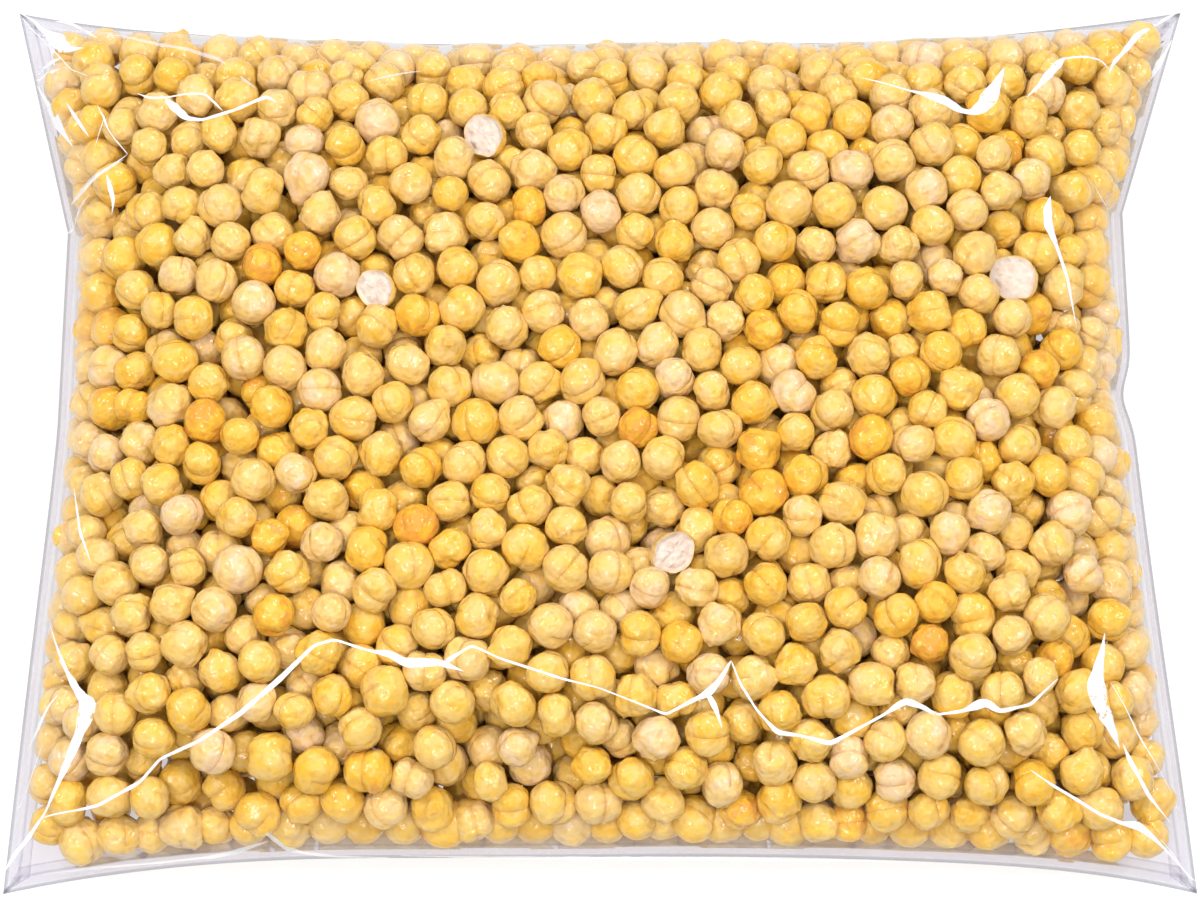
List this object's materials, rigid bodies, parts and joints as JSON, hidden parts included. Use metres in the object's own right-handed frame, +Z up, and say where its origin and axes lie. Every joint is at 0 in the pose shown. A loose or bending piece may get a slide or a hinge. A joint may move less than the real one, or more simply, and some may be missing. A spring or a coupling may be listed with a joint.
{
  "type": "clear sealed bag of roasted chickpeas",
  "caption": "Clear sealed pillow bag filled tight with roasted chickpeas, lying flat, with a narrow seal all round and four flat corner ears.",
  "frame": {"origin": "on the floor, under the middle of the bag's outline", "axes": "+X along the bag's length, +Y towards its back edge, +Z up, out of its upper side"},
  "size_m": [0.26, 0.2025, 0.0439],
  "materials": {
    "chickpeas": "golden-yellow roasted chickpeas, satin skin",
    "film": "clear glossy film with a welded edge"
  },
  "bodies": {
    "root": {"chickpea_bag": "chickpeas"}
  },
  "joints": []
}
